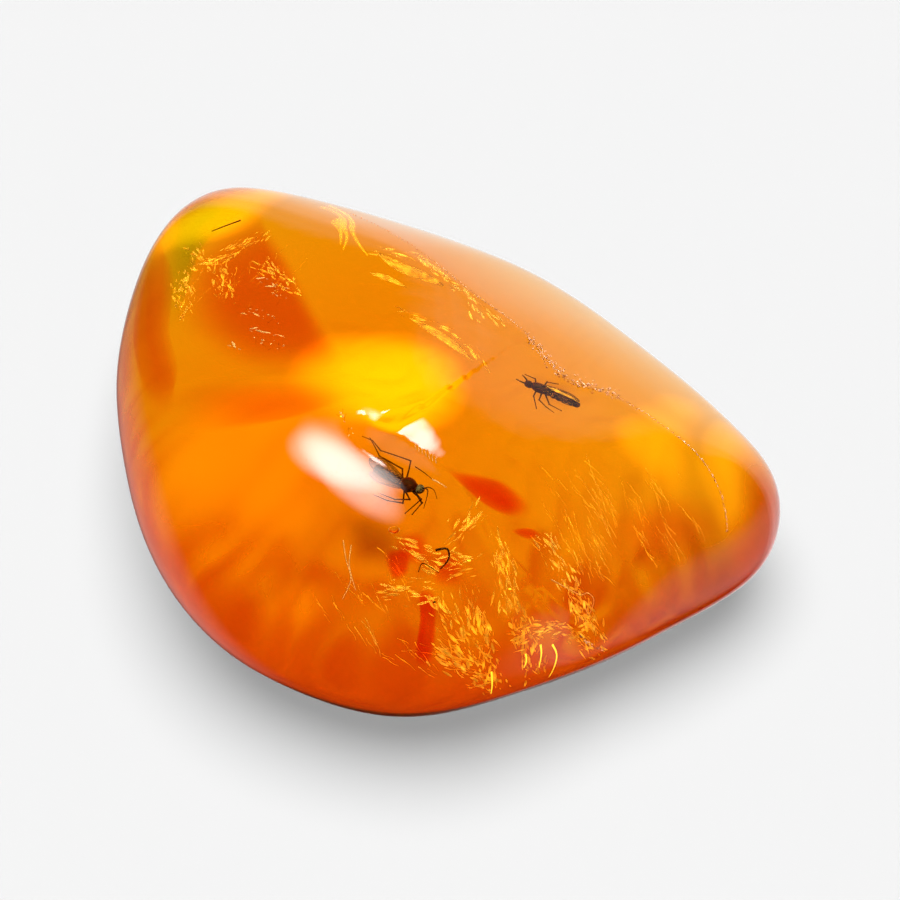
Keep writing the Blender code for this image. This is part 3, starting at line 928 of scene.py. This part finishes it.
# %% Wisps
WISPS = (  # middle of a cloud of wisps in mm, how many, and which way they run
    ((9, -9.3, 12.4), 20, (0.9, -1.3, -0.5)),
    ((13, -9.2, 10.7), 16, (0.9, -1.3, -0.5)),
    ((8.4, -12.2, 11.9), 16, (0.9, -1.3, -0.5)),
    ((-4.5, -16.8, 13), 14, (0.8, -0.6, -1.2)),
    ((-0.5, -18, 10), 12, (1, 0.2, -1)),
    ((-13.5, 8.5, 12.5), 16, (-0.5, -1.2, 0.2)),
)
CLOUD = (1.5, 1.2, 0.5)  # how far a cloud of wisps spreads
rough = np.random.default_rng(11)
wisp_lines = []
for middle, how_many, course in WISPS:
    for _ in range(how_many):
        base = Vector(middle) + Vector(rough.normal(0, 1, 3) * CLOUD)
        wisp_lines.append([base, base + Vector(course) * rough.uniform(0.4, 1.1)])
strew("wisps", wisp_lines, FIBRE, 0.5, 0.25, (0.3, 0.9), 0.35, 5, crack_gold)

# %% [markdown]
# ## The crest
# The crest was chipped when the stone rolled in the surf. Its polish has rounded the chips, and what is
# left is a fine seam of pale splinters, broad in the middle of the crest and hair-thin at both ends. A few
# chips mark the near end of the crease as well.

# %% The seam of chips along the crest
# Bruised resin: tiny splinters whose broken faces scatter a little white over the honey
bruise = principled("bruised_resin", {
    "Base Color": linear("#E9A77C"), "Roughness": 0.35, "IOR": AMBER_INDEX, "Transmission Weight": 0.35})


def on_skin(point, sunk=0.0):
    """The point of the worn surface under a point near it, or a little below that."""
    direction = (Vector(point) - MIDDLE).normalized()
    return on_stone(direction) - direction * sunk


crest_line = [on_skin(point, 0.03) for point in smooth_path(CREST, 14)]
strew("crest_seam", [crest_line], CRUMB, 0.12, 0.05, (0.03, 0.08), 0.6, 8, bruise)
middle_of_crest = crest_line[int(len(crest_line) * 0.40):int(len(crest_line) * 0.62)]
strew("crest_chips", [middle_of_crest] * 3, CRUMB, 0.12, 0.34, (0.03, 0.12), 0.8, 9, bruise)
near_end = crest_line[int(len(crest_line) * 0.74):]
strew("crest_hairline", [near_end], CRUMB, 0.42, 0.03, (0.05, 0.14), 0.2, 5, bruise)
crease_end = [on_skin(point, 0.05) for point in smooth_path(CREASE[-3:], 6)]
strew("crease_chips", [crease_end[-5:]], CRUMB, 0.12, 0.15, (0.04, 0.14), 0.8, 4, bruise)

# %% [markdown]
# ## The fungus gnat
# The larger insect is a fungus gnat, 4 mm long, with the humped back, small head, long legs and smoky
# folded wings of its family. It lies on its side, head down to the right, with both hind legs thrown up
# behind it.

# %% What an insect is made of
# Chitin after forty million years: a dark shell with a waxy sheen, which gives the small white lights on
# the back
chitin, tree = new_material("dark_chitin")
grain = add(tree, "ShaderNodeTexNoise", {
    "Vector": add(tree, "ShaderNodeTexCoord").outputs["Object"], "Scale": 4000.0, "Detail": 2.0})
browns = add(tree, "ShaderNodeMix", {
    "Factor": grain.outputs["Fac"], 6: linear("#4A1C0C"), 7: linear("#8A3E1C")}, data_type="RGBA")
shell = add(tree, "ShaderNodeBsdfPrincipled", {
    "Base Color": browns.outputs[2], "Roughness": 0.4, "IOR": 1.56, "Specular IOR Level": 0.25})
show(tree, shell)

# The head of a fungus gnat: grey, because the facets of its eyes are filled with air
eye_grey = principled("eye_facets", {"Base Color": linear("#8F8680"), "Roughness": 0.45})

# A folded wing: a membrane a hundredth of a millimetre thick, smoky, with darker veins
membrane = principled("wing_membrane", {
    "Base Color": linear("#8C5630"), "Roughness": 0.5, "IOR": 1.5, "Specular IOR Level": 0.1, "Alpha": 0.4})

print("insect finishes:", chitin.name, eye_grey.name, membrane.name)


# %% Bodies and legs
def set_in(shape, centre, turn):
    """Moves a shape from the insect's own millimetres to its place in the stone."""
    place = Matrix.Translation(centre)
    for angle, axis in zip(turn[::-1], "ZYX"):
        place = place @ Matrix.Rotation(math.radians(angle), 4, axis)
    bmesh.ops.transform(shape, matrix=place, verts=shape.verts)


def ringed_body(shape, start, end, half_sizes, rings):
    """An abdomen: overlapping ovals from start to end, fattest in the middle."""
    start, end = Vector(start), Vector(end)
    for k in range(rings):
        part = (k + 0.5) / rings
        fat = 0.62 + 0.38 * math.sin(math.pi * (0.15 + 0.8 * part))
        length = (end - start).length / rings * 0.72
        oval(shape, start.lerp(end, part), (length, half_sizes[0] * fat, half_sizes[1] * fat))


def jointed_leg(shape, points, radius):
    """A leg whose thigh is thickest, with a knot at each joint."""
    last = len(points) - 1
    for k, (near, far) in enumerate(zip(points, points[1:])):
        size = radius * (1 - 0.6 * k / last)
        strand(shape, (near, Vector(near).lerp(Vector(far), 0.4), far), size, size * 0.7, sides=7)
        oval(shape, far, (size * 1.1,) * 3, fineness=1)


trial = bmesh.new()
ringed_body(trial, (0, 0, 0), (2, 0, 0), (0.3, 0.3), 6)
print("an abdomen of six rings has", len(trial.faces), "faces")
trial.free()

# %% The gnat's body
GNAT_CENTRE = (-3.1, -11, 16.5)
GNAT_TURN = (0, 8, -31.5)
GNAT_LEGS = (
    ((0.7, -0.05, -0.2), (0.25, 1.13, 0.25), (-1.7, 0.63, 0.2), (-2.6, 1, 0.15), (-3.3, 0.95, 0.1)),
    ((0.6, -0.2, -0.25), (0.05, 0.5, -0.35), (-1.6, 0.4, -0.2), (-2.9, 1.15, -0.1)),
    ((0.8, -0.3, -0.25), (1.55, -0.65, -0.35), (0.8, -1.12, -0.4), (-0.2, -1.3, -0.45)),
    ((0.9, -0.3, -0.25), (1.3, -1, -0.5), (0.4, -1.35, -0.6), (-0.5, -1.5, -0.6)),
    ((1.3, -0.2, -0.25), (2.1, -0.33, -0.35), (1.8, -1.5, -0.4)),
    ((1.3, -0.1, -0.25), (2.3, -0.5, -0.25), (2.2, -1.35, -0.35)),
)
GNAT_FEELERS = (
    ((1.9, 0.08, 0.1), (2.15, 0.1, 0.15), (2.35, -0.2, 0.12), (2.66, -0.85, 0.05)),
    ((1.9, 0, 0.1), (2.1, 0.25, 0.2), (2.5, 0.3, 0.2), (2.95, -0.05, 0.15)),
)
shape = bmesh.new()
oval(shape, (1, -0.15, 0), (0.50, 0.38, 0.42))
oval(shape, (0.86, -0.18, 0.2), (0.34, 0.26, 0.26))
oval(shape, (1.36, -0.08, -0.02), (0.2, 0.2, 0.22))
ringed_body(shape, (0.55, -0.19, -0.08), (-1.35, -0.21, -0.16), (0.24, 0.28), 7)
for leg in GNAT_LEGS:
    jointed_leg(shape, leg, 0.06)
for feeler in GNAT_FEELERS:
    strand(shape, smooth_path(feeler), 0.045, 0.018)
set_in(shape, GNAT_CENTRE, GNAT_TURN)
seal_in_shape("gnat_body", shape, chitin, "gnat", "gnat")

shape = bmesh.new()
oval(shape, (1.72, -0.02, -0.04), (0.28, 0.26, 0.27))
set_in(shape, GNAT_CENTRE, GNAT_TURN)
seal_in_shape("gnat_head", shape, eye_grey, "gnat")

# %% Wings with veins
def wing_outline(root, tip, width, tilt):
    """Six points around a wing: narrow at the root, widest two thirds out, round at the tip."""
    root, tip = Vector(root), Vector(tip)
    along = tip - root
    across = along.cross(Vector((0, 0, 1))).normalized() * width
    across.rotate(Matrix.Rotation(math.radians(tilt), 3, along))
    return [root, root + along * 0.35 + across * 0.30, root + along * 0.75 + across * 0.42, tip,
            root + along * 0.75 - across * 0.42, root + along * 0.3 - across * 0.34]


def seal_in_wings(insect, wings, centre, turn):
    """Wings, each given as its root, its tip, its width and how far it is tilted about its length."""
    films, veins = bmesh.new(), bmesh.new()
    for root, tip, width, tilt in wings:
        outline = wing_outline(root, tip, width, tilt)
        lens(films, outline, 0.03, rings=4, steps=5)
        for goal in outline[1:]:
            vein = [outline[0].lerp(goal, part) for part in (0, 0.5, 0.96)]
            strand(veins, vein, 0.02, 0.008, sides=5)
        strand(veins, smooth_path(outline, 4, closed=True), 0.012, sides=5)
    for part, drawn, finish in (("wings", films, membrane), ("veins", veins, chitin)):
        set_in(drawn, centre, turn)
        seal_in_shape(f"{insect}_{part}", drawn, finish, insect)


GNAT_WINGS = (
    ((1.15, -0.3, 0.25), (-1.95, -0.1, 0.15), 1.0, -10),
    ((1.1, -0.3, 0.05), (-1.45, -0.75, 0), 1.0, 14),
)
seal_in_wings("gnat", GNAT_WINGS, GNAT_CENTRE, GNAT_TURN)

# %% [markdown]
# ## The fly
# The smaller insect is long and narrow, with stubby feelers and short legs, and its wings lie flat along
# its back. A film of air clings to one side of it and lights it with a streak of gold.

# %% The fly
FLY_CENTRE = (6.8, -2.5, 13.9)
FLY_TURN = (0, 12, -22)
FLY_LEGS = (
    ((-0.8, 0, -0.2), (-0.8, -0.65, -0.3), (-0.25, -1.5, -0.45)),
    ((-0.4, 0, -0.2), (-0.35, -0.75, -0.3), (0.3, -1.05, -0.4), (0.9, -1.2, -0.45)),
    ((-0.2, 0, -0.2), (0.4, -0.7, -0.45), (1.3, -0.75, -0.5)),
    ((-0.9, 0.2, -0.2), (-1.2, 0.85, -0.3), (-1.95, 0.85, -0.35)),
    ((-0.5, 0.2, -0.2), (-0.4, 1.05, -0.3), (0.3, 1.35, -0.4)),
)
FLY_FEELERS = (((-1.6, 0, 0), (-1.95, -0.02, 0.02), (-2.36, 0, 0)),
               ((-1.55, 0.2, 0.05), (-1.8, 0.4, 0.1), (-2.1, 0.55, 0.1)))
shape = bmesh.new()
oval(shape, (-0.65, 0.12, 0.05), (0.66, 0.42, 0.44))
oval(shape, (-1.42, 0.06, 0), (0.33, 0.32, 0.31))
ringed_body(shape, (-0.2, 0.14, 0), (2.2, 0.18, -0.04), (0.38, 0.40), 6)
for leg in FLY_LEGS:
    jointed_leg(shape, leg, 0.065)
for feeler in FLY_FEELERS:
    strand(shape, smooth_path(feeler), 0.08, 0.04)
set_in(shape, FLY_CENTRE, FLY_TURN)
seal_in_shape("fly_body", shape, chitin, "fly", "fly")

FLY_WINGS = (
    ((-0.7, 0.3, 0.42), (2.15, 0.38, 0.40), 0.8, 24),
    ((-0.7, -0.05, 0.42), (2.1, -0.12, 0.38), 0.8, -24),
)
seal_in_wings("fly", FLY_WINGS, FLY_CENTRE, FLY_TURN)

# Air that clings to the fly: a silver film, gilded by the resin above it; its glow is a painted reflection
AIR_FILM = ((-0.3, 0.4, 0.52), (0.5, 0.55, 0.5), (1.6, 0.5, 0.45), (2.3, 0.3, 0.35), (1.4, 0.3, 0.5),
            (0.4, 0.25, 0.55))
shape = bmesh.new()
lens(shape, AIR_FILM, 0.05, rings=4, steps=4)
set_in(shape, FLY_CENTRE, FLY_TURN)
seal_in_shape("fly_air", shape, crack_gold, "fly")

# %% [markdown]
# ## Bark dust
# The rest is what any forest floor would give: splinters of bark, flecks and crumbs, a few plant hairs, a
# thread of spider silk with a loop in it, and a bubble.

# %% Splinters and crumbs
# A hair or a thread of silk: pale, with a faint painted glow that stands for the light it gathers along its
# length
silk = principled("plant_hair", {
    "Base Color": linear("#F0B070"), "Roughness": 0.5,
    "Emission Color": linear("#FFC890"), "Emission Strength": 0.45})

BARK_SPLINTERS = (  # points, thickness at the start and at the end
    (((-16.4, 13.8, 12.8), (-15.6, 14.1, 13), (-14.4, 14.6, 13.1)), 0.05, 0.09),
    (((-1.8, -11.2, 18.2), (-1.2, -11.6, 18.1), (-0.7, -12, 18)), 0.05, 0.02),
    (((-0.5, -15.6, 15.7), (0.2, -15.5, 15.7), (0.3, -16, 15.4), (-0.2, -16.5, 15.1)), 0.09, 0.04),
    (((-1.5, -16.8, 15.2), (-1.3, -16.4, 15.5), (-0.8, -16.5, 15.3), (-0.3, -16.7, 15)), 0.03, 0.03),
)
shape = bmesh.new()
for points, start, end in BARK_SPLINTERS:
    strand(shape, smooth_path(points), start, end)
oval(shape, (-0.5, -18.6, 14.6), (0.1, 0.07, 0.06), fineness=2)
seal_in_shape("bark_bits", shape, chitin, "gnat")

flecks = [((-12.6, 6.6, 15.7), (-10.8, 5.6, 16.1)), ((-13.2, 3.6, 16), (-12, 2.8, 16.4)),
          ((-13, 1.2, 16.8), (-10.6, 0.4, 17.3)), ((-14.2, 0.2, 16.8), (-13.2, -0.6, 17))]
strew("flecks", flecks, FLAKE, 0.45, 0.3, (0.14, 0.42), 0.5, 12, silk)
crumb_lines = [((-13, 3.5, 16.3), (-11, 2, 16.8)), ((-12.3, 0, 17.3), (-10.3, -1, 17.6)),
               ((-11.8, 6.5, 16), (-10.8, 4, 16.4)), ((-6.8, -7, 18.7), (-5.8, -9, 18.4))]
strew("crumbs", crumb_lines, CRUMB, 0.28, 0.35, (0.04, 0.13), 1.2, 21, silk)
strew("crumb_hairs", crumb_lines, FIBRE, 0.30, 0.35, (0.15, 0.45), 1.2, 22, chitin)

# %% Hairs, bristles and thread
HAIRS = (
    ((-6.1, -15.5, 16.7), (-5.9, -16.4, 16), (-5.6, -17.3, 15.2), (-6.1, -18, 14.2)),
    ((-5.6, -15.7, 16.5), (-5.7, -16.7, 15.8), (-5.3, -17.8, 14.8)),
    # the spider's thread, with the loop at its end
    ((6.8, -15.5, 12.8), (7.8, -15.5, 12), (8.7, -15.5, 11.3), (9.2, -15.3, 11.2), (9.6, -15.3, 10.6),
     (9.5, -15.6, 9.9), (9.3, -15.7, 9.7), (9.1, -15.7, 10.2)),
)
shape = bmesh.new()
for hair in HAIRS:
    strand(shape, smooth_path(hair, 6), 0.03, 0.02, sides=5)
first_foot, last_foot = Vector((-1.7, -9.9, 18.5)), Vector((-0.38, -10.8, 18.32))
BRISTLES = 7  # short ones, in a row
for k in range(BRISTLES):
    foot = first_foot.lerp(last_foot, k / (BRISTLES - 1))
    bristle = (foot, foot + Vector((-0.02, 0.28, 0.12)), foot + Vector((0.1, 0.5, 0.16)))
    strand(shape, bristle, 0.03, 0.015, sides=5)
strand(shape, smooth_path(((-0.7, -12, 18), (-0.2, -12.2, 17.9), (0.2, -12.4, 17.7))), 0.05, 0.02)
seal_in_shape("hairs", shape, silk, "amber")

# %% An air bubble
# A pocket of air under the gnat. Air in resin is an index of 1 inside 1.54, and nearly all of it turns to
# mirror; half that step keeps the bright ring but leaves the middle clear
air = principled("air_bubble", {
    "Base Color": WHITE, "Roughness": 0.0, "IOR": 1.25, "Transmission Weight": 1.0})
shape = bmesh.new()
oval(shape, (-3, -15, 17), (0.35, 0.24, 0.2))
bubble = make_object("air_bubble", shape, air)
bubble.visible_diffuse = False
seal_in(bubble, "amber")

# %% Light paths
# Light has to pass many surfaces inside the stone. Glow is only ever seen through the resin, where aiming
# rays at it finds nothing, so the renderer is told to aim at the lamps and a coarse map of the soft sky
# alone
for material in bpy.data.materials:
    material.cycles.emission_sampling = "NONE"
world.cycles.sampling_method = "MANUAL"
world.cycles.sample_map_resolution = 256
cycles = scene.cycles
cycles.max_bounces = 32
cycles.transmission_bounces = 32
cycles.glossy_bounces = 16
cycles.transparent_max_bounces = 32
print("light may bounce", cycles.max_bounces, "times")
